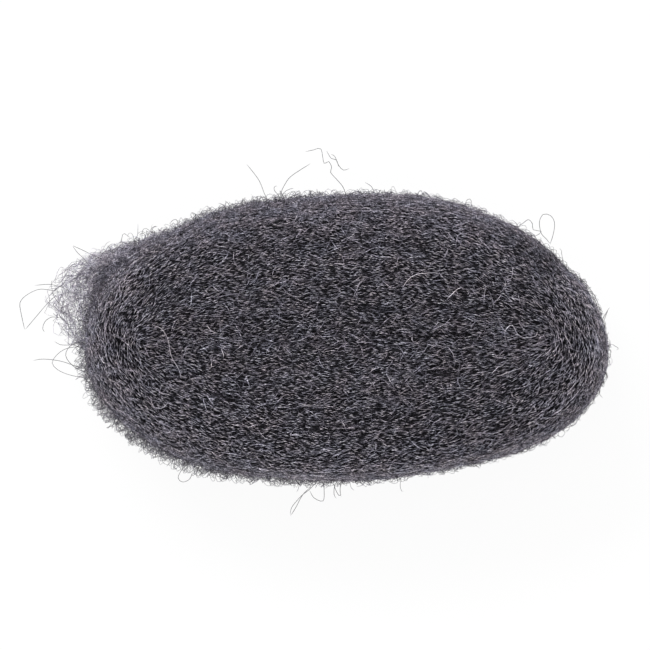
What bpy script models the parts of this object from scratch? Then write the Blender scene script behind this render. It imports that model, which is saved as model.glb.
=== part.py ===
"""A steel wool pad: one ribbon of steel wool wound into a flat oval roll.

Metres, +Z up. The roll lies on one of its two wound ends, so the edges of the turns show on top as
a spiral of rounded ridges. X runs along the flat fold that the winding starts from, and Y across it.
The origin is the middle of the roll's underside. The turns are ovals that share the two ends of the
first fold as their foci, which is how loose wool settles around a flat fold: thick along the two long
sides and squeezed together at the ends.
"""

import math

import bmesh
import bpy

# The winding. It starts at the left end of the fold and grows anticlockwise, seen from above.
FOLD_LENGTH = 0.0864
TURN_THICKNESS = 0.0060
TURNS = 5
TAIL_THICKNESS = 0.0020
TAIL_END_THICKNESS = 0.0009
TAIL_FEATHER_ANGLE = math.radians(32)
TAIL_ANGLE = math.radians(27)
RIBBON_WIDTH = 0.0400

# The wound ends. The upper one is domed and rounded, and the lower one is pressed flat.
GROOVE_DEPTH = 0.0010
CROWN = 0.0012
TOP_EDGE_RADIUS = 0.0085
BOTTOM_EDGE_RADIUS = 0.0050
LAND_SHARE = 0.60

# The roll's weight presses wool onto the bench that would otherwise hang less than this above it.
PRESSED_FLAT = 0.0003

# How unevenly the soft ribbon lies.
EDGE_WAVE = 0.0005
EDGE_WAVES_PER_TURN = 2.3
GROOVE_WANDER = 0.00035
GROOVE_WANDERS_PER_TURN = 6.4
SET_DOWN = 0.0020
BARREL = 0.0006
SIDE_LUMP = 0.0004
SIDE_LUMPS_AROUND = 9

# The middle line of the oval rises a little to the right, and its right end droops.
BOW_RISE = 0.0019
BOW_DROOP = 0.0051

# The turns are a little squarer than true ovals: this much out at the corners and in between them.
SQUARENESS = 0.00045

# Where the outer turn has come loose, it swells out of the side wall.
LOOSE_SWELL = 0.0034
LOOSE_ANGLE = math.radians(151)
LOOSE_SPREAD = math.radians(10)
LOOSE_HEIGHT = 0.0180
LOOSE_HEIGHT_SPREAD = 0.0110

# Where the top face hands over to the side wall, measured in from the wall.
RIM_INSET = 0.0003

# How finely the surface is divided.
STEPS_PER_HALF_TURN = 40
TOP_SAMPLES = 6
UNDERSIDE_SAMPLES = 4
WALL_ROWS = 9
PINCHED_STEPS = 5

STEEL_COLOUR = (0.085, 0.085, 0.093, 1.0)
STEEL_ROUGHNESS = 0.55
STEEL_METALLIC = 0.8

STEPS = 2 * STEPS_PER_HALF_TURN
FOCUS = FOLD_LENGTH / 2
START = -STEPS_PER_HALF_TURN
END = TURNS * STEPS + round(TAIL_ANGLE / math.tau * STEPS)
LAST_TURN = END - STEPS


def clear_scene():
    for old in list(bpy.data.objects):
        bpy.data.objects.remove(old, do_unlink=True)


def angle_at(step):
    return math.tau * step / STEPS


def turns_from_start(step):
    return (step - START) / STEPS


def half_height(step):
    """Half the short axis of the oval that the ribbon's outer side has reached at this step."""
    if step <= START:
        return 0.0
    if step < LAST_TURN:
        return TURN_THICKNESS * turns_from_start(step)
    feathered = max(0.0, 1.0 - (angle_at(END) - angle_at(step)) / TAIL_FEATHER_ANGLE)
    full = TAIL_THICKNESS - (TAIL_THICKNESS - TAIL_END_THICKNESS) * feathered ** 2
    return TURN_THICKNESS * turns_from_start(LAST_TURN) + full * (step - LAST_TURN) / STEPS


def outermost(step):
    """Half the short axis of the roll's outline at the angle of this step."""
    if step == END:
        return half_height(END)
    return half_height(LAST_TURN + (step - LAST_TURN) % STEPS)


def spread_at(step, height):
    """How far apart two neighbouring ovals lie here, as a share of their difference in half height."""
    half_length = math.hypot(FOCUS, height)
    return math.hypot(height, FOCUS * math.sin(angle_at(step))) / half_length


def groove_depth(step, height):
    """Shallower at the ends of the oval, where the turns are squeezed together."""
    return GROOVE_DEPTH * spread_at(step, height)


def bow(x):
    share = x / math.hypot(FOCUS, half_height(END))
    return BOW_RISE * share - BOW_DROOP * max(share, 0.0) ** 3


def plan_point(step, height, outward=0.0):
    """A point of the squared oval with this half height, moved outward from it."""
    angle = angle_at(step)
    half_length = math.hypot(FOCUS, height)
    x = half_length * math.cos(angle)
    y = height * math.sin(angle)
    outward -= SQUARENESS * (height / half_height(END)) ** 2 * math.cos(4 * angle)
    if outward:
        across = math.cos(angle) / half_length
        up = math.sin(angle) / height
        length = math.hypot(across, up)
        x += outward * across / length
        y += outward * up / length
    return x, y + bow(x)


def rounding(inset, radius):
    """How far a rounded edge has fallen at this distance in from the wall."""
    if inset >= radius:
        return 0.0
    reach = radius - max(inset, 0.0)
    return radius - math.sqrt(radius * radius - reach * reach)


def ridge(share, is_outer):
    """The height of a turn's rounded edge across its thickness, from 0 in a groove to 1."""
    if is_outer and share > 0.5:
        return 1.0
    return math.sqrt(max(0.0, 1.0 - (2.0 * share - 1.0) ** 2))


def edge_wave(step):
    return EDGE_WAVE * math.sin(math.tau * EDGE_WAVES_PER_TURN * turns_from_start(step))


def groove_wander(step):
    """How far a groove strays from its even spiral, less on the tight first turn."""
    fade = min(1.0, half_height(step) / (2 * TURN_THICKNESS))
    return GROOVE_WANDER * fade * math.sin(math.tau * GROOVE_WANDERS_PER_TURN * turns_from_start(step))


def set_down(step, share):
    """The outer turn lies lower along the far long side, where the wool has slipped down."""
    if step < LAST_TURN:
        return 0.0
    along = (step - LAST_TURN) / (STEPS_PER_HALF_TURN - (LAST_TURN % STEPS))
    if along > 1.0:
        return 0.0
    return SET_DOWN * math.sin(math.pi * along) ** 2 * math.sin(math.pi / 2 * share)


def strip_heights(step, share):
    """The half height at this share of the ribbon's thickness, from its inner side to its outer."""
    inner = half_height(step - STEPS) + groove_wander(step - STEPS)
    outer = half_height(step) + groove_wander(step)
    if step >= LAST_TURN:
        outer = half_height(step)
        outer -= RIM_INSET / spread_at(step, outer)
    return inner + (outer - inner) * share


def rim_distance(step, height):
    return (outermost(step) - height) * spread_at(step, height)


def top_point(step, share):
    height = strip_heights(step, share)
    x, y = plan_point(step, height)
    is_outer = step >= LAST_TURN
    z = RIBBON_WIDTH
    z -= rounding(rim_distance(step, height), TOP_EDGE_RADIUS)
    z -= CROWN * (height / half_height(END)) ** 2
    z -= groove_depth(step, height) * (1.0 - ridge(share, is_outer))
    if share in (0, 1):
        z += (edge_wave(step) + edge_wave(step + STEPS)) / 2
    else:
        z += edge_wave(step)
    return x, y, z - set_down(step, share)


def underside_point(step, share):
    height = strip_heights(step, share)
    x, y = plan_point(step, height)
    z = rounding(rim_distance(step, height), BOTTOM_EDGE_RADIUS)
    if z < PRESSED_FLAT:
        z = 0.0
    is_outer = step >= LAST_TURN
    if not (is_outer and share > 0.5):
        off_land = abs(share - 0.5) - LAND_SHARE / 2
        z += groove_depth(step, height) * max(0.0, off_land) / (0.5 - LAND_SHARE / 2)
    return x, y, z


def fold_point(column, z):
    return FOCUS * math.cos(angle_at(column)), bow(FOCUS * math.cos(angle_at(column))), z


def wall_bulge(step, share):
    """How far the side wall stands out from the rim, from 0 at the top to 0 at the underside."""
    angle = angle_at(step) % math.tau
    middle = math.sin(math.pi * share)
    out = (RIM_INSET + BARREL) * math.sqrt(middle)
    out += SIDE_LUMP * middle * math.sin(SIDE_LUMPS_AROUND * angle + math.tau * share)
    away = (angle - LOOSE_ANGLE) / LOOSE_SPREAD
    above = ((1.0 - share) * RIBBON_WIDTH - LOOSE_HEIGHT) / LOOSE_HEIGHT_SPREAD
    out += LOOSE_SWELL * middle * math.exp(-away * away - above * above)
    return out


class Surface:
    """Collects the points of the roll by name, and the faces between them."""

    def __init__(self):
        self.mesh = bmesh.new()
        self.named = {}

    def vertex(self, key, point):
        if key not in self.named:
            self.named[key] = self.mesh.verts.new(point)
        return self.named[key]

    def face(self, corners):
        around = []
        for corner in corners:
            if corner not in around:
                around.append(corner)
        if len(around) > 2:
            self.mesh.faces.new(around)


def groove_vertex(surface, side, step, point_at, fold_z):
    """The shared vertex of two turns at a groove. Near its start the ribbon is pinched to nothing."""
    if step - START <= PINCHED_STEPS:
        column = min(step % STEPS, -step % STEPS)
        return surface.vertex((side, "fold", column), fold_point(column, fold_z))
    return surface.vertex((side, "groove", step), point_at(step, 1))


def wound_end(surface, side, samples, point_at, fold_z, facing_up):
    """One spiral face of the roll. Returns the ribbon's last row of vertices, from inside to outside."""
    columns = []
    for step in range(START, END + 1):
        column = [groove_vertex(surface, side, step - STEPS, point_at, fold_z)]
        outer = groove_vertex(surface, side, step, point_at, fold_z)
        for sample in range(1, samples):
            if step - START <= PINCHED_STEPS:
                column.append(outer)
            else:
                column.append(surface.vertex((side, step, sample), point_at(step, sample / samples)))
        column.append(outer)
        columns.append(column)
    for here, there in zip(columns, columns[1:]):
        for low in range(samples):
            corners = [here[low], here[low + 1], there[low + 1], there[low]]
            surface.face(corners if facing_up else corners[::-1])
    return columns[-1]


def wall_column(surface, step):
    """The side wall's vertices at one step, from the top rim down to the underside's rim."""
    top = surface.named["top", "groove", step]
    bottom = surface.named["underside", "groove", step]
    rim_height = half_height(step)
    rim_height -= RIM_INSET / spread_at(step, rim_height)
    column = [top]
    for row in range(1, WALL_ROWS):
        share = (1.0 - math.cos(math.pi * row / WALL_ROWS)) / 2
        x, y = plan_point(step, rim_height, wall_bulge(step, share))
        z = top.co.z + (bottom.co.z - top.co.z) * share
        column.append(surface.vertex(("wall", step, row), (x, y, z)))
    column.append(bottom)
    return column


def side_wall(surface, top_end, underside_end):
    """The outside of the last turn, and the ribbon's own end where its tail lies on the turn below."""
    columns = [wall_column(surface, step) for step in range(LAST_TURN, END + 1)]
    for here, there in zip(columns, columns[1:]):
        for row in range(WALL_ROWS):
            surface.face([here[row], here[row + 1], there[row + 1], there[row]])
    inner, outer = columns[0], columns[-1]
    surface.face([inner[1], *top_end, outer[1]])
    for row in range(1, WALL_ROWS - 1):
        surface.face([inner[row + 1], inner[row], outer[row], outer[row + 1]])
    surface.face([inner[-2], outer[-2], *reversed(underside_end)])


def centre_over_origin(mesh):
    """Moves the roll so that its box stands on the origin."""
    for axis in (0, 1):
        places = [vertex.co[axis] for vertex in mesh.verts]
        middle = (min(places) + max(places)) / 2
        for vertex in mesh.verts:
            vertex.co[axis] -= middle


def steel_material():
    material = bpy.data.materials.new("steel_wool")
    material.use_nodes = True
    shader = material.node_tree.nodes["Principled BSDF"]
    shader.inputs["Base Color"].default_value = STEEL_COLOUR
    shader.inputs["Roughness"].default_value = STEEL_ROUGHNESS
    shader.inputs["Metallic"].default_value = STEEL_METALLIC
    return material


def wool_roll():
    surface = Surface()
    top_end = wound_end(surface, "top", TOP_SAMPLES, top_point, RIBBON_WIDTH - GROOVE_DEPTH, True)
    underside_end = wound_end(
        surface, "underside", UNDERSIDE_SAMPLES, underside_point, GROOVE_DEPTH, False
    )
    side_wall(surface, top_end, underside_end)
    centre_over_origin(surface.mesh)
    data = bpy.data.meshes.new("wool_roll")
    surface.mesh.to_mesh(data)
    surface.mesh.free()
    data.shade_smooth()
    data.materials.append(steel_material())
    roll = bpy.data.objects.new("wool_roll", data)
    bpy.context.scene.collection.objects.link(roll)
    return roll


clear_scene()
wool_roll()
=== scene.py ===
"""The looks of the steel wool pad, built around its packed roll.

A core, coloured nearly black as painted shade of the deep wool, keeps the roll's form, and separate fine
fibres are laid over it. The fibres follow the winding: at each place they run along the oval through it,
and all the ovals share two foci.
Metres, +Z up, in the frame's own axes.
"""

import dataclasses
import math

import bpy
import numpy as np
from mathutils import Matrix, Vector
from mathutils.bvhtree import BVHTree


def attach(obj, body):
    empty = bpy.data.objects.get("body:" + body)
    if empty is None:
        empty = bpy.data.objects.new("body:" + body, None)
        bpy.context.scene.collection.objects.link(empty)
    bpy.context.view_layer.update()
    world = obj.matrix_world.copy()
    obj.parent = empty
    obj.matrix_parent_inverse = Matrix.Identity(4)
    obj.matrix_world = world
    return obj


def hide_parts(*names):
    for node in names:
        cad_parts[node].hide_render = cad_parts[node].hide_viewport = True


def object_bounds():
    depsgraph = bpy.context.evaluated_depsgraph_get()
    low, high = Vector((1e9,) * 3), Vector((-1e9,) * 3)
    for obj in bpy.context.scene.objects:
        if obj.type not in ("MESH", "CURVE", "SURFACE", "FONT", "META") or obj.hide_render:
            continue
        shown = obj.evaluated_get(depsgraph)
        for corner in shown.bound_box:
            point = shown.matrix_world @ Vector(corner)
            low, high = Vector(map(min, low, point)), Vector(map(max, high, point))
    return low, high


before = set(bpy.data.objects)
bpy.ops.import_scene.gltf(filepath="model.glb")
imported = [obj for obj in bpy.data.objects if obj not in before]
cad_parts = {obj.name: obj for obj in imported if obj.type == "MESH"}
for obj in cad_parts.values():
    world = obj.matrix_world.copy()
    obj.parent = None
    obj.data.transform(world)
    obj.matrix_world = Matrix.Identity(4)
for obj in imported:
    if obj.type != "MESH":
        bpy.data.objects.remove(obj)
CAD_LOW, CAD_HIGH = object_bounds()

MM = 0.001
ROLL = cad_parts["wool_roll"]

# The winding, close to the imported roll's: the foci of its ovals, their middle, and the middle line's bow.
# The foci lie a little further in than the ends of the roll's fold, because the strands turn round sooner.
FOCUS = 40.0 * MM
FOLD_X = -0.25 * MM
FOLD_Y = 0.64 * MM
HALF_LENGTH = 51.7 * MM
BOW_RISE = 1.9 * MM
BOW_DROOP = 5.1 * MM

# Where the outer turn has come loose, as an angle of the winding.
LOOSE_ANGLE = math.radians(152)
LOOSE_SPREAD = math.radians(11)
LOOSE_HEIGHT = 19 * MM
LOOSE_HEIGHT_SPREAD = 14 * MM

# Where the dark curls stand on the outline, as an angle of the winding.
CURLS_ANGLE = math.radians(122)
CURLS_SPREAD = math.radians(30)
CURLS_HEIGHT = 25 * MM
CURLS_HEIGHT_SPREAD = 9 * MM

# A hollow at the far right, beside the outer turn's end. The fibres sink into it, and their tone is lowered
# there as painted shade.
HOLLOW_MIDDLE = (39.0 * MM, 15.6 * MM)
HOLLOW_ANGLE = math.radians(-26)
HOLLOW_LENGTH = 6.5 * MM
HOLLOW_WIDTH = 2.8 * MM
HOLLOW_DEPTH = 0.5 * MM
HOLLOW_SHADE = 0.20

# No fibre's middle line comes nearer than this to the plane that the roll lies on.
FLOOR_GAP = 0.12 * MM

# Least values, so that nothing is divided by zero and no root of a negative number is taken.
LEAST_LENGTH = 1e-9
LEAST_SQUARE = 1e-10


def unit(vectors):
    length = np.linalg.norm(vectors, axis=-1, keepdims=True)
    return vectors / np.maximum(length, LEAST_LENGTH)


def dot(first, second):
    return (first * second).sum(-1, keepdims=True)


class Field:
    """The distance to the roll's surface on a grid, negative inside, with its slope.

    Margin is how far the grid reaches past the roll. Edge, in cells, keeps a point inside its last cell.
    """

    STEP = 1.0 * MM
    MARGIN = 10.0 * MM
    EDGE = 0.001

    def __init__(self, solid):
        self.low = np.array(CAD_LOW) - self.MARGIN
        high = np.array(CAD_HIGH) + self.MARGIN
        self.shape = np.ceil((high - self.low) / self.STEP).astype(int) + 1
        mesh = solid.data
        corners = [vertex.co for vertex in mesh.vertices]
        faces = [face.vertices[:] for face in mesh.polygons]
        tree = BVHTree.FromPolygons(corners, faces)
        grid = np.indices(self.shape).reshape(3, -1).T * self.STEP + self.low
        distance = np.empty(len(grid))
        for index, place in enumerate(grid):
            point = Vector(place)
            nearest, normal, _, gap = tree.find_nearest(point)
            distance[index] = gap if (point - nearest).dot(normal) > 0 else -gap
        self.set_distance(distance.reshape(self.shape))

    def set_distance(self, distance):
        self.distance = distance
        slope = np.stack(np.gradient(distance, self.STEP), axis=-1)
        self.values = np.concatenate([distance[..., None], slope], axis=-1)

    def soften(self, passes):
        """Evens out the grooves between the turns, as the loose fibres that bridge them do."""
        distance = self.distance
        for _ in range(passes):
            for axis in range(3):
                before = np.roll(distance, 1, axis)
                after = np.roll(distance, -1, axis)
                distance = (before + 2 * distance + after) / 4
        self.set_distance(distance)

    def at(self, points):
        """The distance and the outward normal at each point, read between the grid's corners."""
        place = (points - self.low) / self.STEP
        place = np.clip(place, 0.0, self.shape - 1 - self.EDGE)
        cell = place.astype(int)
        part = place - cell
        total = 0.0
        for corner in np.ndindex(2, 2, 2):
            near = np.where(corner, part, 1.0 - part).prod(axis=-1)
            at = cell + corner
            total = total + near[..., None] * self.values[at[..., 0], at[..., 1], at[..., 2]]
        return total[..., 0], unit(total[..., 1:])


def oval_at(points):
    """The half length, half height, cosine and sine of the oval through each point, seen from above."""
    x = points[..., 0] - FOLD_X
    share = x / HALF_LENGTH
    y = points[..., 1] - FOLD_Y - BOW_RISE * share + BOW_DROOP * np.maximum(share, 0.0) ** 3
    half_length = (np.hypot(x - FOCUS, y) + np.hypot(x + FOCUS, y)) / 2
    half_height = np.sqrt(np.maximum(half_length**2 - FOCUS**2, LEAST_SQUARE))
    cosine = np.clip(x / half_length, -1.0, 1.0)
    sine = np.clip(y / half_height, -1.0, 1.0)
    return half_length, half_height, cosine, sine


def flow_at(points, normals):
    """The direction of the winding in the surface, and the direction across it."""
    half_length, half_height, cosine, sine = oval_at(points)
    along = np.stack([-half_length * sine, half_height * cosine, np.zeros_like(sine)], axis=-1)
    along = unit(along - dot(along, normals) * normals)
    return along, np.cross(normals, along)


def looseness(points):
    """From 0 to 1: how near each point is to the place where the outer turn has come loose."""
    _, _, cosine, sine = oval_at(points)
    away = (np.arctan2(sine, cosine) - LOOSE_ANGLE) / LOOSE_SPREAD
    above = (points[..., 2] - LOOSE_HEIGHT) / LOOSE_HEIGHT_SPREAD
    return np.exp(-(away**2) - above**2)


def hollow_at(points):
    """From 0 to 1: how near each point is to the middle of the hollow, seen from above."""
    offset = points[..., :2] - np.array(HOLLOW_MIDDLE)
    along = offset @ np.array([math.cos(HOLLOW_ANGLE), math.sin(HOLLOW_ANGLE)])
    across = offset @ np.array([-math.sin(HOLLOW_ANGLE), math.cos(HOLLOW_ANGLE)])
    return np.exp(-((along / HOLLOW_LENGTH) ** 2) - (across / HOLLOW_WIDTH) ** 2)


def far_left(points):
    """From 0 to 1: how near each point is to the middle of the far left stretch of the upper rim."""
    _, _, cosine, sine = oval_at(points)
    away = (np.arctan2(sine, cosine) - CURLS_ANGLE) / CURLS_SPREAD
    above = (points[..., 2] - CURLS_HEIGHT) / CURLS_HEIGHT_SPREAD
    return np.exp(-(away**2) - above**2)


class Waves:
    """A smooth random pattern from about -1 to 1, made of sines with lengths in a given range."""

    def __init__(self, seed, count, shortest, longest):
        rng = np.random.default_rng(seed)
        ways = unit(rng.normal(size=(count, 3)))
        self.numbers = ways * math.tau / rng.uniform(shortest, longest, (count, 1))
        self.phases = rng.uniform(0, math.tau, count)

    def at(self, points):
        turned = points @ self.numbers.T + self.phases
        return np.sin(turned).sum(-1) / math.sqrt(len(self.phases) / 2)


class Locks:
    """A random pattern that is drawn out along the winding, as wool lies in locks.

    It is made of sines, each with a thickness in a given range and a number of waves around the roll.
    """

    def __init__(self, seed, count, thinnest, thickest, fewest, most):
        rng = np.random.default_rng(seed)
        self.around = rng.integers(fewest, most, count) * rng.choice([-1, 1], count)
        self.across = math.tau / rng.uniform(thinnest, thickest, count)
        self.phases = rng.uniform(0, math.tau, count)

    def at(self, points):
        _, half_height, cosine, sine = oval_at(points)
        angle = np.arctan2(sine, cosine)[..., None]
        across = (half_height - points[..., 2])[..., None]
        turned = angle * self.around + across * self.across + self.phases
        return np.sin(turned).sum(-1) / math.sqrt(len(self.phases) / 2)


# The fibres' direction swirls a little, and more where they are tangled, near the winding's middle line.
SWIRL = Waves(seed=5, count=14, shortest=4 * MM, longest=12 * MM)
SWIRL_ANGLE = math.radians(4)
TANGLED_MIDDLE = 5.0 * MM
TANGLED_MORE = 0.5

# Locks of wool lie higher or lower than their neighbours, and their fibres' tone is raised on the high
# locks and lowered in the sunken ones, as painted light and shade. The edges of the gaps between them are
# uneven by GAP_EDGE.
LOCKS = Locks(seed=8, count=40, thinnest=0.8 * MM, thickest=2.2 * MM, fewest=2, most=16)
LOCKS_DEPTH = 0.13 * MM
LOCKS_SHADE = 0.075
GAP_EDGE = 0.3

# How much of a fibre's bend lasts from one step to the next, how much of its tone comes from its height,
# as painted shade that darkens the deeper fibres, and how far its tone drifts along it.
BEND_MEMORY = 0.75
SHADE_BY_HEIGHT = 0.55
TONE_DRIFT = 0.10

# Towards the far rim the tones are more even: from where, over what width, around which tone, how much.
FAR_START = 15 * MM
FAR_WIDTH = 8 * MM
FAR_TONE = 0.58
FAR_EVENNESS = 0.45

# The haze's fibres loop out of the wall in a band around it. These are the band, how deep they are rooted,
# and the beta distribution of how far out they reach.
RIM_MIDDLE = 21 * MM
RIM_HEIGHT = 24 * MM
HAZE_ROOT = 0.25 * MM
HAZE_SHAPE = (1.0, 1.5)

# How deep the haze is: everywhere, and how much deeper at the far, left and near side and where two meet.
# At the right end the near side's part all but ends.
HAZE_DEPTH = 1.0 * MM
HAZE_FAR = 0.5 * MM
HAZE_NEAR = 0.4 * MM
HAZE_LEFT = 1.9 * MM
HAZE_FAR_LEFT = -0.95 * MM
HAZE_NEAR_LEFT = 0.9 * MM
HAZE_NEAR_ENDS = 0.9

# How far the stray fibres stand out, in the same way.
FRINGE_DEPTH = 0.55 * MM
FRINGE_NEAR = 0.55 * MM
FRINGE_LEFT = 0.8 * MM
FRINGE_NEAR_LEFT = 1.3 * MM

# How deep a stray fibre is rooted, how far it may dip, how far it starts out from the winding's direction,
# and how hard it is turned back at its reach.
FRINGE_ROOT = 0.4 * MM
FRINGE_DIP = 0.5 * MM
FRINGE_TURN = math.radians(38)
FRINGE_STEER = 0.8


@dataclasses.dataclass
class Coat:
    """One kind of fibre laid over one part of the roll. Lengths in metres, angles in radians.

    Fibres may be kept apart, along and across the winding, and rise by arch between their two ends. They
    start out from the winding's direction by spread. Bend and jitter, per metre, turn them on the way, and
    pull turns them back. The higher they lie in the coat's depth, the brighter they are in its tone:
    painted shade, darker the deeper they lie. Where the locks' pattern is under gaps_below there are none.
    """

    name: str
    where: str
    count: int
    seed: int
    apart: tuple = ()
    points: int = 5
    step: float = 0.72 * MM
    radius: tuple = (0.06 * MM, 0.09 * MM)
    depth: tuple = (-0.15 * MM, 0.15 * MM)
    arch: tuple = (0.10 * MM, 0.35 * MM)
    spread: float = math.radians(12)
    bend: float = 170.0
    jitter: float = 260.0
    pull: float = 0.12
    tone: tuple = (0.45, 0.85)
    gaps_below: float = -9.0
    pieces: int = 1


@dataclasses.dataclass
class Fibres:
    """Fibres with as many points each: their points, and the radius and the tone at each point."""

    path: np.ndarray
    radius: np.ndarray
    tone: np.ndarray


def seeds_on(rng, where, count):
    """Random places on the roll's surface, even over the part that is covered as it is seen."""
    mesh = ROLL.data
    mesh.calc_loop_triangles()
    corners = np.empty(len(mesh.vertices) * 3)
    mesh.vertices.foreach_get("co", corners)
    faces = np.empty(len(mesh.loop_triangles) * 3, int)
    mesh.loop_triangles.foreach_get("vertices", faces)
    a, b, c = corners.reshape(-1, 3)[faces.reshape(-1, 3)].transpose(1, 0, 2)
    across = np.cross(b - a, c - a) / 2
    up = across[:, 2]
    area = np.linalg.norm(across, axis=-1)
    middle = (a + b + c) / 3
    side = np.sqrt(np.maximum(area**2 - up**2, 0.0))
    shown = {
        "face": np.maximum(up, 0.0),
        "side": side,
        "underside": np.maximum(-up, 0.0),
        "fringe": side * fringe_at(middle),
        "rim": side * haze_at(middle) * (np.abs(middle[:, 2] - RIM_MIDDLE) < RIM_HEIGHT / 2),
        "loose": side * looseness(middle),
        "far left": side * far_left(middle),
    }[where]
    chosen = rng.choice(len(shown), count, p=shown / shown.sum())
    u, v = rng.uniform(size=(2, count, 1))
    u, v = np.where(u + v > 1, 1 - u, u), np.where(u + v > 1, 1 - v, v)
    return a[chosen] + u * (b - a)[chosen] + v * (c - a)[chosen]


def evenly_spaced(field, places, apart):
    """Keeps each place that no earlier kept one is too near, along or across the winding."""
    _, normal = field.at(places)
    ways = np.stack(flow_at(places, normal), axis=1) / np.array(apart)[:, None]
    cells = np.floor(places[:, :2] / max(apart)).astype(int).tolist()
    taken = {}
    kept = []
    for index, (column, row) in enumerate(cells):
        nearby = [
            other
            for beside in (column - 1, column, column + 1)
            for above in (row - 1, row, row + 1)
            for other in taken.get((beside, above), ())
        ]
        if nearby:
            offset = ways[index] @ (places[nearby] - places[index]).T
            if ((offset**2).sum(axis=0) < 1.0).any():
                continue
        taken.setdefault((column, row), []).append(index)
        kept.append(index)
    return places[kept]


def fringe_at(points):
    """How far the stray fibres stand out from the side wall, in metres: least at the right end."""
    _, _, cosine, sine = oval_at(points)
    left = np.maximum(-cosine, 0.0)
    near = np.maximum(-sine, 0.0)
    return FRINGE_DEPTH + FRINGE_NEAR * near + FRINGE_LEFT * left + FRINGE_NEAR_LEFT * left * near


def haze_at(points):
    """How deep the haze of short fibres is around the roll, in metres. It is least at the right end."""
    _, _, cosine, sine = oval_at(points)
    left = np.maximum(-cosine, 0.0)
    right = np.maximum(cosine, 0.0)
    near = np.maximum(-sine, 0.0)
    far = np.maximum(sine, 0.0)
    leftward = left * (HAZE_LEFT + HAZE_FAR_LEFT * far + HAZE_NEAR_LEFT * near)
    nearward = HAZE_NEAR * near**2 * (1.0 - HAZE_NEAR_ENDS * right)
    return HAZE_DEPTH + HAZE_FAR * far**2 + leftward + nearward


def along_share(points):
    """The share of the way along at each of a fibre's points."""
    return np.arange(points) / (points - 1)


def uneven_tones(rng, coat, share):
    """A tone for each fibre at its share of the coat's range, which also drifts a little along it."""
    darkest, brightest = coat.tone
    tone = darkest + (brightest - darkest) * share[:, None]
    drift = rng.normal(0.0, TONE_DRIFT, (len(share), coat.points))
    return tone + drift


def even_radii(rng, coat, count):
    return rng.uniform(*coat.radius, count)[:, None] * np.ones((1, coat.points))


def far_band(points):
    """From 0 to 1: how near each point is to the far rim, where the fibres' tones are more even."""
    _, half_height, _, sine = oval_at(points)
    return np.clip((half_height * sine - FAR_START) / FAR_WIDTH, 0.0, 1.0)


def lay(field, coat):
    """Walks each fibre of a coat over the surface. It comes up out of the wool and goes down again."""
    rng = np.random.default_rng(coat.seed)
    place = seeds_on(rng, coat.where, coat.count)
    if coat.apart:
        place = evenly_spaced(field, place, coat.apart)
    place = place[LOCKS.at(place) + rng.normal(0.0, GAP_EDGE, len(place)) > coat.gaps_below]
    count = len(place)
    _, half_height, _, _ = oval_at(place)
    tangled = 1.0 + TANGLED_MORE * np.exp(-((half_height / TANGLED_MIDDLE) ** 2))
    heading = rng.normal(0.0, coat.spread, count) * tangled + math.pi * rng.integers(0, 2, count)
    bend = rng.normal(0.0, coat.bend, count)
    height = rng.uniform(size=count)
    depth = coat.depth[0] + (coat.depth[1] - coat.depth[0]) * height
    arch = rng.uniform(*coat.arch, count)
    if coat.where == "rim":
        arch = HAZE_ROOT + haze_at(place) * rng.beta(*HAZE_SHAPE, count)
        depth = arch - HAZE_ROOT
    path = []
    for share in along_share(coat.points):
        target = depth + arch * (math.sin(math.pi * share) - 1.0)
        target = target + LOCKS_DEPTH * LOCKS.at(place) - HOLLOW_DEPTH * hollow_at(place)
        distance, normal = field.at(place)
        place = place + (target - distance)[:, None] * normal
        place[:, 2] = np.maximum(place[:, 2], FLOOR_GAP)
        path.append(place)
        along, across = flow_at(place, normal)
        bend = BEND_MEMORY * bend + rng.normal(0.0, coat.jitter, count) * math.sqrt(1 - BEND_MEMORY**2)
        heading = heading + bend * coat.step - coat.pull * np.sin(2 * heading) / 2
        turned = (heading + SWIRL_ANGLE * SWIRL.at(place))[:, None]
        place = place + coat.step * (np.cos(turned) * along + np.sin(turned) * across)
    path = np.stack(path, axis=1)
    # A fibre's tone rises with its height in the coat: painted shade, darker the deeper it lies.
    share = SHADE_BY_HEIGHT * height + (1 - SHADE_BY_HEIGHT) * rng.uniform(size=count)
    # Painted light and shade: fibres on the raised locks are lighter, in the sunken ones darker.
    tone = uneven_tones(rng, coat, share) + LOCKS_SHADE * LOCKS.at(path)
    # Fibres in the hollow are darkened: painted shade.
    tone = tone + FAR_EVENNESS * far_band(path) * (FAR_TONE - tone) - HOLLOW_SHADE * hollow_at(path)
    return Fibres(path, even_radii(rng, coat, count), tone)


def shared_out(coat, fibres):
    """The coat's fibres, shared out among its pieces."""
    if coat.pieces == 1:
        return [(coat.name, fibres)]
    parts = [slice(index, None, coat.pieces) for index in range(coat.pieces)]
    return [
        (f"{coat.name}_{index + 1}", Fibres(fibres.path[part], fibres.radius[part], fibres.tone[part]))
        for index, part in enumerate(parts)
    ]


@dataclasses.dataclass
class Fringe:
    """Stray fibres that leave the surface in curls.

    Lean is how steeply they start, curl how fast they turn, per metre, and wander how much the axis that
    they turn about changes at each step. Reach is how far they stand out, as a share of the fringe's own.
    """

    name: str
    where: str
    count: int
    seed: int
    points: int = 11
    step: float = 0.42 * MM
    radius: tuple = (0.038 * MM, 0.056 * MM)
    curl: tuple = (300.0, 2000.0)
    wander: float = 0.65
    reach: float = 1.0
    lean: float = math.radians(24)
    tone: tuple = (0.15, 0.55)


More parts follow.
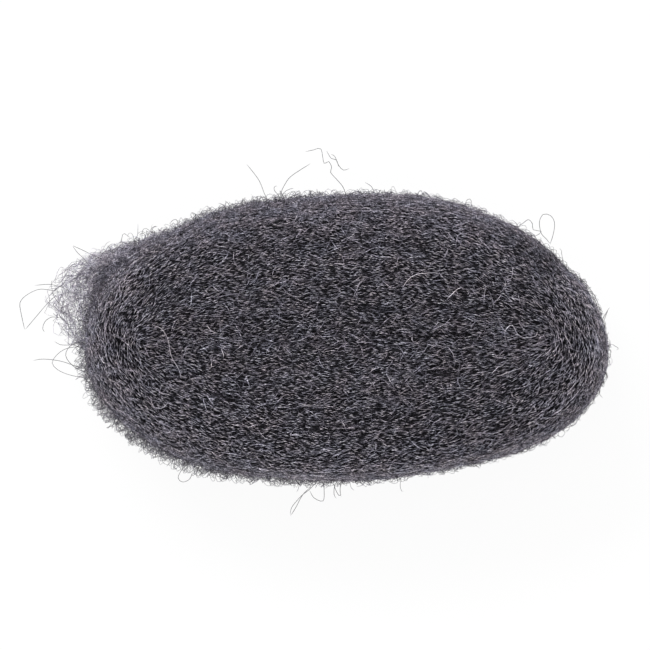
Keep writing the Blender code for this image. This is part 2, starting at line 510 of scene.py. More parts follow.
def curl(field, fringe):
    """Lets each fibre wind its way through the air over the surface, and turns it back at its reach."""
    rng = np.random.default_rng(fringe.seed)
    count = fringe.count
    place = seeds_on(rng, fringe.where, count)
    _, normal = field.at(place)
    place = place - FRINGE_ROOT * normal
    along, across = flow_at(place, normal)
    turned = rng.normal(0.0, FRINGE_TURN, (count, 1)) + math.pi * rng.integers(0, 2, (count, 1))
    lean = np.abs(rng.normal(0.0, fringe.lean, (count, 1)))
    way = np.cos(lean) * (np.cos(turned) * along + np.sin(turned) * across) + np.sin(lean) * normal
    axis = rng.normal(size=(count, 3))
    angle = rng.uniform(*fringe.curl, (count, 1)) * fringe.step
    reach = fringe.reach * fringe_at(place) * rng.exponential(1.0, count)
    path = []
    for _ in range(fringe.points):
        path.append(place)
        axis = unit(axis + fringe.wander * rng.normal(size=(count, 3)))
        axis = unit(axis - dot(axis, way) * way)
        way = np.cos(angle) * way + np.sin(angle) * np.cross(axis, way)
        distance, normal = field.at(place)
        too_far = np.maximum(distance - reach, 0.0) / fringe.step
        too_deep = np.maximum(-FRINGE_DIP - distance, 0.0) / fringe.step
        way = unit(way + np.clip(too_deep - too_far, -FRINGE_STEER, FRINGE_STEER)[:, None] * normal)
        place = place + fringe.step * way
        place[:, 2] = np.maximum(place[:, 2], FLOOR_GAP)
    tone = uneven_tones(rng, fringe, rng.uniform(size=count))
    return Fibres(np.stack(path, axis=1), even_radii(rng, fringe, count), tone)


STRAND_SPACING = 0.7 * MM


def strand(points, radius, tone):
    """One fibre along a smooth curve through points that are given in millimetres."""
    knots = np.array(points, float) * MM
    knots = np.concatenate([2 * knots[:1] - knots[1:2], knots, 2 * knots[-1:] - knots[-2:-1]])
    curve = []
    for a, b, c, d in zip(knots, knots[1:], knots[2:], knots[3:]):
        steps = max(2, round(float(np.linalg.norm(c - b)) / STRAND_SPACING))
        t = (np.arange(steps) / steps)[:, None]
        curve.append(0.5 * (2 * b + (c - a) * t + (2 * a - 5 * b + 4 * c - d) * t**2
                            + (3 * b - a - 3 * c + d) * t**3))
    path = np.concatenate([*curve, knots[-2:-1]])[None]
    return Fibres(path, np.full(path.shape[:2], radius), np.full(path.shape[:2], tone))


# The lock of wool that has come loose from the roll's far left, through points in millimetres. Its fibres
# lie between the inner line, along the roll's wall, and the outer one.
LOCK_OUTER = [(-35.0, 20.4), (-40.0, 19.3), (-45.6, 17.6), (-51.0, 15.8), (-54.4, 13.8), (-57.2, 11.2),
              (-58.8, 8.8), (-58.4, 6.4), (-57.2, 4.2), (-56.4, 1.6), (-54.4, -0.8)]
LOCK_INNER = [(-35.0, 18.6), (-40.0, 17.0), (-44.2, 14.6), (-47.4, 12.0), (-49.4, 9.4), (-50.4, 7.0),
              (-51.0, 4.8), (-51.4, 2.6), (-51.6, 0.8), (-51.6, -0.8), (-51.2, -2.4)]
LOCK_COUNT = 500
LOCK_SEED = 63
LOCK_POINTS = 15
LOCK_RADIUS = (0.038 * MM, 0.054 * MM)
LOCK_SHADES = (0.48, 0.92)
LOCK_HEIGHTS = (10 * MM, 29 * MM)
LOCK_RISE = 3 * MM

# Where the lock's fibres start and how long they are, as shares of the lines' length. Starts and places
# across the lock follow beta distributions.
LOCK_LINE = 55 * MM
LOCK_LENGTHS = (0.12, 0.38)
LOCK_START_SHAPE = (1.3, 2.0)
LOCK_FIRST_START = -0.05
LOCK_STARTS = 0.95
LOCK_ACROSS_SHAPE = (1.0, 1.05)

# How far a fibre drifts across the lock, the bounds that keep it near, and its waves: length and height.
LOCK_DRIFT = 0.7
LOCK_BOUNDS = (-0.6, 1.12)
LOCK_WAVES = ((10 * MM, 0.7 * MM), (4 * MM, 0.45 * MM))


def guide(points, at):
    """The place at each share of the way along a line that is given by its points in millimetres."""
    line = np.array(points, float) * MM
    lengths = np.linalg.norm(np.diff(line, axis=0), axis=1)
    shares = np.concatenate([[0.0], np.cumsum(lengths)]) / lengths.sum()
    return np.stack([np.interp(at, shares, line[:, axis]) for axis in (0, 1)], axis=-1)


def loose_lock():
    """Long fibres in a thin lock that leaves the wall, turns round in the air and comes back."""
    rng = np.random.default_rng(LOCK_SEED)
    shape = (LOCK_COUNT, 1)
    start = rng.beta(*LOCK_START_SHAPE, shape) * LOCK_STARTS + LOCK_FIRST_START
    length = rng.uniform(*LOCK_LENGTHS, shape)
    along = np.clip(start + length * along_share(LOCK_POINTS), 0.0, 1.0)
    out = rng.beta(*LOCK_ACROSS_SHAPE, shape)
    drift = rng.normal(0.0, LOCK_DRIFT, shape) * (along_share(LOCK_POINTS) - 0.5)
    out = np.clip(out + drift, *LOCK_BOUNDS)[..., None]
    plan = guide(LOCK_INNER, along) * (1 - out) + guide(LOCK_OUTER, along) * out
    height = rng.uniform(*LOCK_HEIGHTS, shape)
    rise = rng.normal(0.0, LOCK_RISE, shape) * along_share(LOCK_POINTS)
    path = np.concatenate([plan, (height + rise)[..., None]], axis=-1)
    for wavelength, swings in LOCK_WAVES:
        swing = rng.normal(0.0, swings, (LOCK_COUNT, 1, 3))
        phase = rng.uniform(0, math.tau, shape)
        turned = phase + math.tau * length * LOCK_LINE / wavelength * along_share(LOCK_POINTS)
        path = path + swing * np.sin(turned)[..., None]
    radius = rng.uniform(*LOCK_RADIUS, shape) * np.ones((1, LOCK_POINTS))
    tone = rng.uniform(*LOCK_SHADES, shape) * np.ones((1, LOCK_POINTS))
    return Fibres(path, radius, tone)


# A fibre has this many sides. Its first and last rings are thinner, by END_SHARE, and it ends in points.
# SKEW keeps the way to its first side clear of its own direction.
SIDES = 3
END_SHARE = 0.75
SKEW = (0.3, -0.2, 0.1)

# The blank edge of a fibre's cell in the map, as a share of the cell.
CELL_EDGE = 0.08


def rings_around(path, radius):
    """The corners around each fibre at all its points but the two ends."""
    tangent = unit(np.gradient(path, axis=1))
    side = np.empty_like(path)
    side[:, 0] = unit(np.cross(tangent[:, 0], np.roll(tangent[:, 0], 1, axis=-1) + SKEW))
    for index in range(1, path.shape[1]):
        here = tangent[:, index]
        side[:, index] = unit(side[:, index - 1] - dot(side[:, index - 1], here) * here)
    other = np.cross(tangent, side)
    around = np.arange(SIDES) * math.tau / SIDES
    offset = np.cos(around)[:, None] * side[:, 1:-1, None]
    offset = offset + np.sin(around)[:, None] * other[:, 1:-1, None]
    thick = radius[:, 1:-1].copy()
    thick[:, [0, -1]] *= END_SHARE
    rings = path[:, 1:-1, None] + thick[..., None, None] * offset
    return rings.reshape(len(path), -1, 3)


def faces_between(count, points):
    """The corners' numbers for the faces of fibres with as many points each: bodies, heads and tails."""
    rings = points - 2
    size = rings * SIDES + 2
    base = np.arange(count)[:, None] * size
    here = np.arange(SIDES)
    there = (here + 1) % SIDES
    start = base[..., None] + 1 + np.arange(rings - 1)[:, None] * SIDES
    body = np.stack([start + here, start + there, start + there + SIDES, start + here + SIDES], axis=-1)
    last = base + 1 + (rings - 1) * SIDES
    head = np.stack([base + 0 * here, base + 1 + there, base + 1 + here], axis=-1)
    tail = np.stack([base + size - 1 + 0 * here, last + here, last + there], axis=-1)
    return body, head, tail


def unrolled(points):
    """Where the corners of a fibre's faces lie in its cell: its body's, its head's and its tail's."""
    side = np.arange(SIDES)
    low, high, middle = side / SIDES, (side + 1) / SIDES, (side + 0.5) / SIDES
    ring = np.arange(1, points - 1)[:, None] / (points - 1) + 0 * side
    low_of, high_of = low + 0 * ring, high + 0 * ring
    here, there = slice(None, -1), slice(1, None)
    body = np.stack([
        np.stack([ring[here], low_of[here]], axis=-1),
        np.stack([ring[here], high_of[here]], axis=-1),
        np.stack([ring[there], high_of[there]], axis=-1),
        np.stack([ring[there], low_of[there]], axis=-1),
    ], axis=-2)
    head = np.stack([
        np.stack([0 * side, middle], axis=-1),
        np.stack([ring[0], high], axis=-1),
        np.stack([ring[0], low], axis=-1),
    ], axis=-2)
    tail = np.stack([
        np.stack([0 * side + 1, middle], axis=-1),
        np.stack([ring[-1], low], axis=-1),
        np.stack([ring[-1], high], axis=-1),
    ], axis=-2)
    return [part.reshape(-1, 2) for part in (body, head, tail)]


def fibre_mesh(name, batches):
    """One mesh of closed fibres with pointed ends, each unrolled in its own cell of the map."""
    corners, faces, totals, tones, spots = [], [], [], [], []
    first = 0
    laid = 0
    total = sum(len(fibres.path) for fibres in batches)
    columns = math.ceil(math.sqrt(total))
    lines = math.ceil(total / columns)
    for fibres in batches:
        path, tone = fibres.path, fibres.tone
        count, points, _ = path.shape
        rings = rings_around(path, fibres.radius)
        corners.append(np.concatenate([path[:, :1], rings, path[:, -1:]], axis=1).reshape(-1, 3))
        ring_tone = np.repeat(tone[:, 1:-1], SIDES, axis=1)
        tones.append(np.concatenate([tone[:, :1], ring_tone, tone[:, -1:]], axis=1).ravel())
        for part in faces_between(count, points):
            faces.append(first + part.ravel())
            totals.append(np.full(part.size // part.shape[-1], part.shape[-1]))
        cell = laid + np.arange(count)
        cell = np.stack([cell % columns, cell // columns], axis=-1)[:, None]
        for part in unrolled(points):
            inset = CELL_EDGE + (1 - 2 * CELL_EDGE) * part
            spots.append(((cell + inset) / (columns, lines)).reshape(-1, 2))
        first += len(corners[-1])
        laid += count
    return mesh_of(name, *(np.concatenate(part) for part in (corners, faces, totals, tones, spots)))


def mesh_of(name, corners, faces, totals, tones, spots):
    """A mesh from its corners, its faces' corner numbers and sizes, the corners' tones and the map."""
    mesh = bpy.data.meshes.new(name)
    mesh.vertices.add(len(corners))
    mesh.vertices.foreach_set("co", corners.ravel())
    mesh.loops.add(len(faces))
    mesh.loops.foreach_set("vertex_index", faces)
    mesh.polygons.add(len(totals))
    mesh.polygons.foreach_set("loop_start", np.concatenate([[0], np.cumsum(totals)[:-1]]))
    mesh.update(calc_edges=True)
    mesh.validate()
    mesh.shade_smooth()
    attribute = mesh.attributes.new("tone", "FLOAT", "POINT")
    attribute.data.foreach_set("value", np.clip(tones, 0.0, 1.0))
    mesh.uv_layers.new(name="OFBake").data.foreach_set("uv", spots.astype(np.float32).ravel())
    return mesh


def add_piece(name, mesh, material):
    """Adds one piece of steel wool to the scene, riding on the part's one body."""
    piece = bpy.data.objects.new(name, mesh)
    bpy.context.scene.collection.objects.link(piece)
    mesh.materials.append(material)
    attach(piece, "root")
    return piece


def new_material(name):
    """A node material, with its nodes, its links and its main shader."""
    material = bpy.data.materials.new(name)
    material.use_nodes = True
    nodes = material.node_tree.nodes
    return material, nodes, material.node_tree.links, nodes["Principled BSDF"]


def noise(nodes, links, place, scale, detail):
    """A noise texture at a given scale, read at a place."""
    texture = nodes.new("ShaderNodeTexNoise")
    texture.inputs["Scale"].default_value = scale
    texture.inputs["Detail"].default_value = detail
    links.new(place, texture.inputs["Vector"])
    return texture


def ramp(nodes, links, share, stops):
    """The colour at a share of the way through stops, each of a position and a colour."""
    node = nodes.new("ShaderNodeValToRGB")
    elements = node.color_ramp.elements
    while len(elements) < len(stops):
        elements.new(0.5)
    for element, (position, colour) in zip(elements, stops):
        element.position = position
        element.color = (*colour, 1)
    links.new(share, node.inputs["Fac"])
    return node.outputs["Color"]


def worked_out(nodes, links, operation, *values):
    """The outcome of one sum over values, each a number or another node's outcome."""
    node = nodes.new("ShaderNodeMath")
    node.operation = operation
    for socket, value in zip(node.inputs, values):
        if isinstance(value, float):
            socket.default_value = value
        else:
            links.new(value, socket)
    return node.outputs[0]


# The steel's colour from the darkest fibre to the brightest, by tone. Its dark end gives deep fibres
# painted shade and its bright end gives painted glints.
STEEL_TONES = (
    (0.00, (0.0110, 0.0104, 0.0128)),
    (0.35, (0.0700, 0.0670, 0.0800)),
    (0.65, (0.3150, 0.3010, 0.3580)),
    (0.88, (0.7300, 0.7020, 0.8050)),
    (1.00, (0.9800, 0.9500, 1.0000)),
)

# Painted glints as lighter and darker stretches along each fibre, per metre and in tone, and wide patches
# of warmer and colder steel.
GLINT_SCALE = 4200.0
GLINT_TONE = 1.4
PATCH_SCALE = 260.0
PATCH_TINTS = ((0.35, (1.0, 0.945, 0.935)), (0.65, (0.945, 0.965, 1.0)))


def fibre_material():
    """Dull steel, each fibre of its own tone, with painted glints: lighter and darker stretches along it.
    """
    material, nodes, links, shader = new_material("steel_fibre")
    tone = nodes.new("ShaderNodeAttribute")
    tone.attribute_name = "tone"
    place = nodes.new("ShaderNodeTexCoord").outputs["Object"]
    glints = noise(nodes, links, place, GLINT_SCALE, detail=1.0)
    centred = worked_out(nodes, links, "SUBTRACT", glints.outputs["Fac"], 0.5)
    mixed = worked_out(nodes, links, "MULTIPLY_ADD", centred, GLINT_TONE, tone.outputs["Fac"])
    patches = noise(nodes, links, place, PATCH_SCALE, detail=2.0)
    tinted = nodes.new("ShaderNodeVectorMath")
    tinted.operation = "MULTIPLY"
    links.new(ramp(nodes, links, mixed, STEEL_TONES), tinted.inputs[0])
    links.new(ramp(nodes, links, patches.outputs["Fac"], PATCH_TINTS), tinted.inputs[1])
    links.new(tinted.outputs["Vector"], shader.inputs["Base Color"])
    shader.inputs["Metallic"].default_value = 0.85
    shader.inputs["Roughness"].default_value = 0.38
    shader.inputs["Specular IOR Level"].default_value = 0.2
    return material


# The imported wool's colour from its gaps to its streaks, nearly black as painted shade of the deep wool
# and darkest in the gaps, and the streaks' relief.
CORE_SHADE_AND_STREAKS = ((0.38, (0.003, 0.003, 0.004)), (0.68, (0.028, 0.027, 0.032)))
CORE_RELIEF = 0.4 * MM


def core_material():
    """Packed wool, coloured nearly black as painted shade of the deep wool: fine streaks along the winding.
    """
    material, nodes, links, shader = new_material("shaded_packed_wool")
    place = nodes.new("ShaderNodeAttribute")
    place.attribute_name = "winding"
    streaks = noise(nodes, links, place.outputs["Vector"], 1.0, detail=4.0)
    streaks.inputs["Distortion"].default_value = 0.6
    links.new(ramp(nodes, links, streaks.outputs["Fac"], CORE_SHADE_AND_STREAKS), shader.inputs["Base Color"])
    bump = nodes.new("ShaderNodeBump")
    bump.inputs["Strength"].default_value = 0.8
    bump.inputs["Distance"].default_value = CORE_RELIEF
    links.new(streaks.outputs["Fac"], bump.inputs["Height"])
    links.new(bump.outputs["Normal"], shader.inputs["Normal"])
    shader.inputs["Metallic"].default_value = 0.4
    shader.inputs["Roughness"].default_value = 0.6
    shader.inputs["Specular IOR Level"].default_value = 0.1
    return material


# How far the core lies inside the roll's surface, the gap under which its corners are welded, the number of
# moves that bring it there, and the streaks' scales around, around and across the winding.
CORE_DEPTH = 1.1 * MM
CORE_WELD = 0.01 * MM
CORE_MOVES = 3
WINDING_SCALES = (14.0, 14.0, 4000.0)


def wool_core(field):
    """The roll a little inside its surface, with the place along and across the winding at each vertex."""
    mesh = ROLL.data.copy()
    mesh.name = "wool_core"
    mesh.materials.clear()
    core = bpy.data.objects.new("wool_core", mesh)
    bpy.context.scene.collection.objects.link(core)
    weld = core.modifiers.new("weld", "WELD")
    weld.merge_threshold = CORE_WELD
    graph = bpy.context.evaluated_depsgraph_get()
    dense = bpy.data.meshes.new_from_object(core.evaluated_get(graph))
    core.modifiers.clear()
    core.data = dense
    corners = np.empty(len(dense.vertices) * 3)
    dense.vertices.foreach_get("co", corners)
    corners = corners.reshape(-1, 3)
    for _ in range(CORE_MOVES):
        distance, normal = field.at(corners)
        corners = corners - (distance + CORE_DEPTH)[:, None] * normal
    dense.vertices.foreach_set("co", corners.ravel())
    _, half_height, cosine, sine = oval_at(corners)
    winding = np.stack([cosine, sine, half_height - corners[:, 2]], axis=-1) * WINDING_SCALES
    attribute = dense.attributes.new("winding", "FLOAT_VECTOR", "POINT")
    attribute.data.foreach_set("vector", winding.ravel())
    dense.shade_smooth()
    dense.materials.append(core_material())
    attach(core, "root")
    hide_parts("wool_roll")
    return core


# The coats of the upper face, from the core outward, and then the side's, the rim's and the underside's.
# The face's coats get brighter tones from the deepest outward: painted shade among the fibres.
FACE_BED = Coat("face_bed", "face", count=2200, seed=11, points=6, step=2.2 * MM,
                radius=(0.08 * MM, 0.12 * MM), depth=(-1.1 * MM, -0.7 * MM), tone=(0.0, 0.20))
FACE_UNDER = Coat("face_under", "face", count=60000, seed=40, apart=(0.85 * MM, 0.36 * MM), points=4,
                  step=0.48 * MM, radius=(0.045 * MM, 0.065 * MM), depth=(-0.75 * MM, -0.40 * MM),
                  tone=(0.28, 0.62))
FACE_OVER = Coat("face_over", "face", count=130000, seed=44, apart=(0.62 * MM, 0.30 * MM), points=4,
                 step=0.35 * MM, radius=(0.038 * MM, 0.054 * MM), depth=(-0.30 * MM, 0.08 * MM),
                 spread=math.radians(6), tone=(0.73, 1.0), gaps_below=-1.4, pieces=2)
FACE_LONG = Coat("face_long_fibres", "face", count=100, seed=12, points=9, step=0.55 * MM,
                 radius=(0.034 * MM, 0.044 * MM), depth=(0.0, 0.3 * MM), arch=(0.3 * MM, 0.5 * MM),
                 spread=math.radians(22), bend=420.0, tone=(0.55, 0.9))
# Short bright fibres: painted glints.
FACE_SHORT = Coat("face_short_fibres", "face", count=350, seed=13, points=4, step=0.42 * MM,
                  radius=(0.040 * MM, 0.060 * MM), depth=(0.0, 0.2 * MM), spread=math.radians(26),
                  bend=700.0, tone=(0.6, 0.95))
SIDE = Coat("side_fibres", "side", count=16000, seed=50, points=4, step=1.4 * MM,
            radius=(0.065 * MM, 0.10 * MM), depth=(-0.45 * MM, 0.12 * MM), spread=math.radians(20),
            tone=(0.20, 0.78), pieces=2)
HAZE = Coat("haze", "rim", count=3000, seed=33, points=8, step=0.50 * MM, radius=(0.030 * MM, 0.046 * MM),
            spread=math.radians(38), bend=600.0, jitter=900.0, tone=(0.22, 0.62))
UNDERSIDE = Coat("underside_fibres", "underside", count=26000, seed=31, apart=(1.10 * MM, 0.40 * MM),
                 points=4, step=0.85 * MM, radius=(0.050 * MM, 0.080 * MM), depth=(-0.7 * MM, -0.12 * MM),
                 arch=(0.0, 0.2 * MM), spread=math.radians(14), tone=(0.40, 0.95), gaps_below=-1.4)
COATS = [FACE_BED, FACE_UNDER, FACE_OVER, FACE_LONG, FACE_SHORT, SIDE, HAZE, UNDERSIDE]

# Curls all around the wall, where the outer turn has come loose, and dark ones at the outline's far left.
FRINGE = Fringe("fringe", "fringe", count=1400, seed=61)
LOOSE_CURLS = Fringe("loose_curls", "loose", count=300, seed=62, points=12, step=0.6 * MM,
                     curl=(200.0, 1200.0), reach=2.0, lean=math.radians(36))
FAR_CURLS = Fringe("far_curls", "far left", count=230, seed=64, points=12, step=0.50 * MM,
                   radius=(0.046 * MM, 0.062 * MM), curl=(500.0, 2000.0), reach=1.6,
                   lean=math.radians(34), tone=(0.10, 0.40))
FRINGES = [FRINGE, LOOSE_CURLS, FAR_CURLS]

# Single fibres that stand well clear of the roll, through points in millimetres.
STRAY_RADIUS = 0.058 * MM
STRAY_TONE = 0.32
STRAYS = {
    "far_left_bend": [(-19.8, 34.5, 31), (-17.4, 31.4, 29), (-16.3, 28.8, 27), (-15.4, 26.8, 26)],
    "far_hook": [(-7.0, 34.5, 33), (-10.9, 32.0, 31), (-12.3, 30.2, 29), (-12.9, 28.8, 28),
                 (-13.0, 26.8, 27)],
    "far_cluster_a": [(-8.2, 36.7, 34), (-6.4, 37.1, 34), (-5.0, 37.3, 33), (-4.4, 34.5, 33),
                      (-3.5, 34.9, 32), (-2.9, 33.8, 31), (-3.1, 32.8, 30), (-1.9, 31.4, 30),
                      (-0.7, 30.0, 29), (0.1, 28.1, 28)],
    "far_cluster_b": [(-3.1, 36.3, 32), (-2.3, 35.9, 33), (-1.5, 34.1, 32), (-0.5, 33.2, 31),
                      (0.7, 33.6, 31)],
    "far_cluster_c": [(-4.0, 37.2, 31), (-3.0, 35.5, 32), (-2.0, 35.2, 32), (-1.5, 33.8, 31)],
    "far_short": [(3.6, 30.9, 30), (5.0, 30.0, 29), (5.6, 28.7, 28)],
    "right_loop": [(40.5, 18.5, 25), (41.1, 20.7, 27), (41.3, 22.9, 28), (40.4, 24.3, 29),
                   (39.0, 24.5, 29), (38.3, 23.1, 28), (38.7, 20.9, 26), (39.9, 19.6, 25),
                   (40.7, 18.6, 24)],
    "right_knot": [(33.8, 21.9, 27), (35.2, 22.9, 28), (36.1, 23.5, 28), (36.9, 22.7, 28),
                   (37.1, 21.5, 27), (38.7, 21.2, 27), (37.6, 20.3, 26), (36.0, 20.7, 25)],
    "right_arc_a": [(43.8, 13.4, 26), (45.4, 12.6, 26), (47.4, 11.0, 26), (48.9, 9.1, 26),
                    (49.9, 7.2, 26), (50.5, 5.1, 26), (50.4, 3.0, 25)],
    "right_arc_b": [(44.0, 13.0, 24), (46.4, 11.6, 24), (48.2, 9.8, 25), (49.4, 7.7, 25),
                    (50.1, 5.6, 25), (50.2, 3.6, 24)],
    "right_spike": [(52.3, 6.2, 27), (51.3, 4.4, 26), (50.6, 2.8, 25), (50.0, 0.9, 24)],
    "right_spike_twin": [(52.1, 5.9, 26), (51.4, 3.9, 25), (50.8, 2.3, 24), (50.2, 0.7, 23)],
    "left_bend_a": [(-54.4, 18.4, 27), (-52.6, 17.6, 26), (-50.6, 16.6, 25), (-49.0, 15.9, 25),
                    (-47.6, 14.8, 24)],
    "left_bend_b": [(-54.4, 18.4, 27), (-53.4, 17.0, 26), (-52.2, 15.8, 25), (-50.8, 14.0, 25),
                    (-50.0, 12.6, 24)],
    "left_far_a": [(-64.1, 1.6, 22), (-62.0, 4.0, 23), (-59.6, 6.8, 23), (-57.4, 8.9, 22)],
    "near_tuft_a": [(-2.6, -28.0, 21), (-2.2, -30.0, 22), (-1.4, -31.4, 23), (-0.9, -31.0, 23)],
    "near_tuft_b": [(-1.6, -28.0, 21), (-2.3, -29.6, 22), (-2.4, -31.2, 23), (-1.9, -32.0, 23)],
    "near_tuft_c": [(-0.6, -28.2, 21), (-1.2, -30.0, 22), (-1.0, -31.8, 23)],
    "left_far_b": [(-56.9, 9.2, 22), (-58.6, 9.5, 23), (-61.2, 9.7, 24), (-63.7, 8.5, 24),
                   (-65.0, 7.0, 23), (-64.7, 4.6, 23), (-64.1, 1.6, 22)],
    "left_far_c": [(-56.0, 9.9, 21), (-59.0, 10.7, 22), (-62.2, 10.5, 23)],
    "left_low_loop": [(-52.0, -8.0, 22), (-55.2, -7.3, 23), (-57.4, -6.3, 24), (-58.5, -5.0, 24),
                      (-57.8, -3.6, 24), (-56.2, -2.3, 23), (-54.2, -1.8, 22), (-52.0, -1.8, 21)],
    "left_low_twin": [(-51.6, -7.0, 21), (-54.0, -5.9, 22), (-55.6, -4.2, 23), (-55.8, -2.8, 23),
                      (-54.6, -1.3, 22), (-52.6, -1.0, 21)],
    "left_low_a": [(-62.4, -4.5, 24), (-60.4, -4.2, 23), (-57.0, -4.6, 22), (-54.0, -5.6, 21),
                   (-51.6, -6.3, 20)],
    "left_low_b": [(-58.3, -0.5, 23), (-57.0, -1.3, 23), (-54.7, -1.3, 22), (-52.6, -0.6, 21)],
    "left_low_c": [(-60.0, 1.2, 23), (-60.4, 1.8, 24), (-60.0, 3.2, 24), (-58.6, 4.2, 23),
                   (-56.6, 3.9, 22)],
    "near_left_loop": [(-30.0, -24.1, 20), (-32.6, -26.1, 21), (-33.5, -27.9, 22), (-32.6, -28.7, 22),
                       (-31.2, -28.1, 21), (-30.6, -26.3, 20)],
    "near_left": [(-29.3, -27.2, 21), (-27.3, -26.5, 20), (-25.8, -25.3, 19)],
    "near_long_a": [(-11.1, -35.4, 24), (-10.9, -33.8, 24), (-9.0, -31.5, 23), (-7.2, -30.1, 22),
                    (-5.6, -28.3, 21)],
    "near_long_b": [(-11.1, -35.4, 24), (-10.0, -33.7, 23), (-8.7, -31.3, 22), (-7.0, -29.7, 21)],
    "near_loop": [(-7.3, -30.3, 23), (-6.4, -31.8, 24), (-4.6, -32.4, 24), (-4.4, -30.1, 23),
                  (-4.6, -28.3, 22)],
}

# Bright single fibres that lie on the upper face, seen from above, in millimetres. Their brightness is a
# painted highlight.
ARC_RADIUS = 0.06 * MM
ARC_HIGHLIGHT_TONE = 0.93
ARC_LIFT = 0.35 * MM
ARC_MOVES = 6
ARCS = {
    "long_arc": [(-38.5, 2.6), (-36.4, 2.0), (-35.0, -0.1), (-34.3, -3.5), (-32.8, -6.2), (-32.4, -8.0)],
    "short_arc": [(-27.5, 2.8), (-26.4, 1.4), (-24.9, 0.9)],
    "bright_dash": [(-31.2, -8.2), (-29.7, -7.8), (-27.9, -7.8)],
    "hook_up": [(10.7, 9.1), (11.7, 11.1), (13.7, 12.5), (18.0, 12.9)],
    "low_arc": [(19.4, 7.4), (21.8, 9.7), (22.9, 9.9)],
    "right_hook": [(31.2, -0.7), (31.0, 1.4), (32.4, 2.6), (33.4, 0.9), (34.8, 0.1), (37.1, 0.5),
                   (37.3, 1.8)],
    "right_dash": [(42.4, 1.2), (43.2, -0.1), (44.2, -1.7)],
    "near_right": [(29.6, -7.5), (31.8, -6.6), (34.2, -5.8)],
    "near_dash": [(-1.3, -15.7), (-0.5, -16.9), (-0.1, -18.1)],
}


def on_face(field, fibres):
    """Drops fibres that were drawn level onto the upper face."""
    path = fibres.path
    path[..., 2] = CAD_HIGH[2]
    for _ in range(ARC_MOVES):
        distance, _ = field.at(path)
        path[..., 2] -= distance - ARC_LIFT
    return fibres


def stray_mesh(field):
    """The single fibres, around the roll and on its upper face, as one mesh."""
    strands = [strand(points, STRAY_RADIUS, STRAY_TONE) for points in STRAYS.values()]
    for points in ARCS.values():
        level = [(x, y, 0.0) for x, y in points]
        strands.append(on_face(field, strand(level, ARC_RADIUS, ARC_HIGHLIGHT_TONE)))
    return fibre_mesh("stray_fibres", strands)


# The camera looks straight down. These are the photograph's scale, its width and the roll's middle in it,
# the heights of the camera and of the face that has this scale, and the sensor's width in millimetres.
METRES_PER_PIXEL = 0.197 * MM
FRAME_PIXELS = 650
ROLL_MIDDLE_PIXEL = (346.4, 338.2)
CAMERA_HEIGHT = 1.0
FACE_HEIGHT = 34 * MM
SENSOR_WIDTH = 36.0


def camera():
    """Looks straight down at the upper face, as far off as the photograph's flat look asks."""
    data = bpy.data.cameras.new("camera")
    width = FRAME_PIXELS * METRES_PER_PIXEL
    data.sensor_width = SENSOR_WIDTH
    data.lens = data.sensor_width * (CAMERA_HEIGHT - FACE_HEIGHT) / width
    seen = bpy.data.objects.new("camera", data)
    x = (FRAME_PIXELS / 2 - ROLL_MIDDLE_PIXEL[0]) * METRES_PER_PIXEL
    y = (ROLL_MIDDLE_PIXEL[1] - FRAME_PIXELS / 2) * METRES_PER_PIXEL
    seen.location = (x, y, CAMERA_HEIGHT)
    bpy.context.scene.collection.objects.link(seen)
    bpy.context.scene.camera = seen


# How far the floor reaches and how far it lies under the roll, and how much of it is plain white as seen.
FLOOR_REACH = 3.0
FLOOR_DROP = 0.1 * MM
FLOOR_OWN_WHITE = 0.92


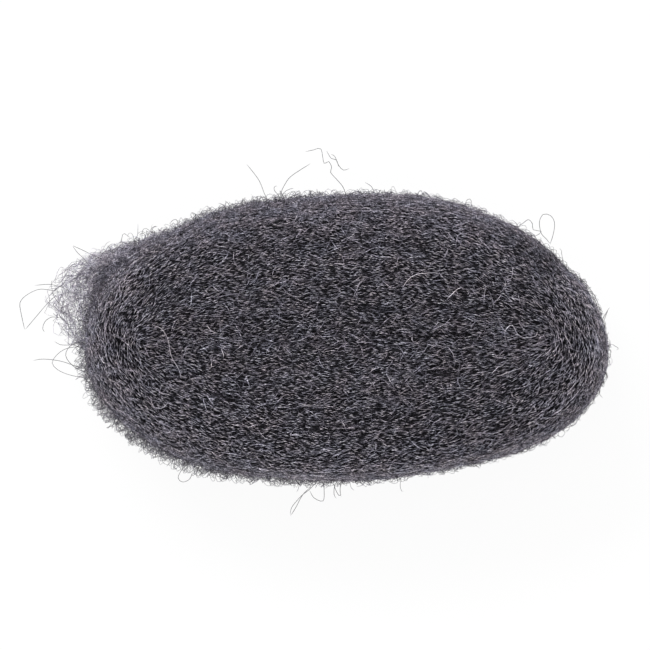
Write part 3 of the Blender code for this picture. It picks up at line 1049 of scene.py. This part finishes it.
def floor():
    """A white floor. The camera sees mostly its own white, and a part of the light and shadow on it."""
    material, nodes, links, shader = new_material("floor")
    shader.inputs["Base Color"].default_value = (0.9, 0.9, 0.9, 1)
    shader.inputs["Roughness"].default_value = 0.9
    shader.inputs["Specular IOR Level"].default_value = 0.1
    white = nodes.new("ShaderNodeEmission")
    white.inputs["Strength"].default_value = 1.0
    rays = nodes.new("ShaderNodeLightPath")
    seen = worked_out(nodes, links, "MAXIMUM", rays.outputs["Is Camera Ray"], rays.outputs["Is Glossy Ray"])
    share = worked_out(nodes, links, "MULTIPLY", seen, FLOOR_OWN_WHITE)
    mix = nodes.new("ShaderNodeMixShader")
    links.new(share, mix.inputs["Fac"])
    links.new(shader.outputs["BSDF"], mix.inputs[1])
    links.new(white.outputs["Emission"], mix.inputs[2])
    links.new(mix.outputs["Shader"], nodes["Material Output"].inputs["Surface"])
    mesh = bpy.data.meshes.new("floor")
    ways = ((-1, -1), (1, -1), (1, 1), (-1, 1))
    mesh.from_pydata([(x * FLOOR_REACH, y * FLOOR_REACH, 0) for x, y in ways], [], [(0, 1, 2, 3)])
    mesh.materials.append(material)
    ground = bpy.data.objects.new("floor", mesh)
    ground.location.z = -FLOOR_DROP
    bpy.context.scene.collection.objects.link(ground)


# The softbox's sides, its place, what it points at, and its power.
SOFTBOX_SIZE = (0.40, 0.25)
SOFTBOX_PLACE = (-0.25, 0.45, 0.60)
SOFTBOX_AIM = (0, 0, 0.03)
SOFTBOX_WATTS = 4.0


def lights():
    """White all round, and a softbox from the far left."""
    world = bpy.data.worlds.new("studio")
    world.use_nodes = True
    world.node_tree.nodes["Background"].inputs["Color"].default_value = (1, 1, 1, 1)
    world.node_tree.nodes["Background"].inputs["Strength"].default_value = 1.0
    bpy.context.scene.world = world
    softbox = bpy.data.lights.new("softbox", "AREA")
    softbox.shape = "RECTANGLE"
    softbox.size, softbox.size_y = SOFTBOX_SIZE
    softbox.energy = SOFTBOX_WATTS
    lamp = bpy.data.objects.new("softbox", softbox)
    lamp.location = SOFTBOX_PLACE
    lamp.rotation_euler = (Vector(SOFTBOX_AIM) - lamp.location).to_track_quat("-Z", "Y").to_euler()
    bpy.context.scene.collection.objects.link(lamp)


# How many times the grooves are evened out under the fibres.
SOFTENING = 2

field = Field(ROLL)
field.soften(SOFTENING)
steel = fibre_material()
wool_core(field)
for coat in COATS:
    for name, fibres in shared_out(coat, lay(field, coat)):
        add_piece(name, fibre_mesh(name, [fibres]), steel)
for fringe in FRINGES:
    add_piece(fringe.name, fibre_mesh(fringe.name, [curl(field, fringe)]), steel)
add_piece("loose_lock", fibre_mesh("loose_lock", [loose_lock()]), steel)
add_piece("stray_fibres", stray_mesh(field), steel)
camera()
floor()
lights()
bpy.context.scene.view_settings.view_transform = "Standard"
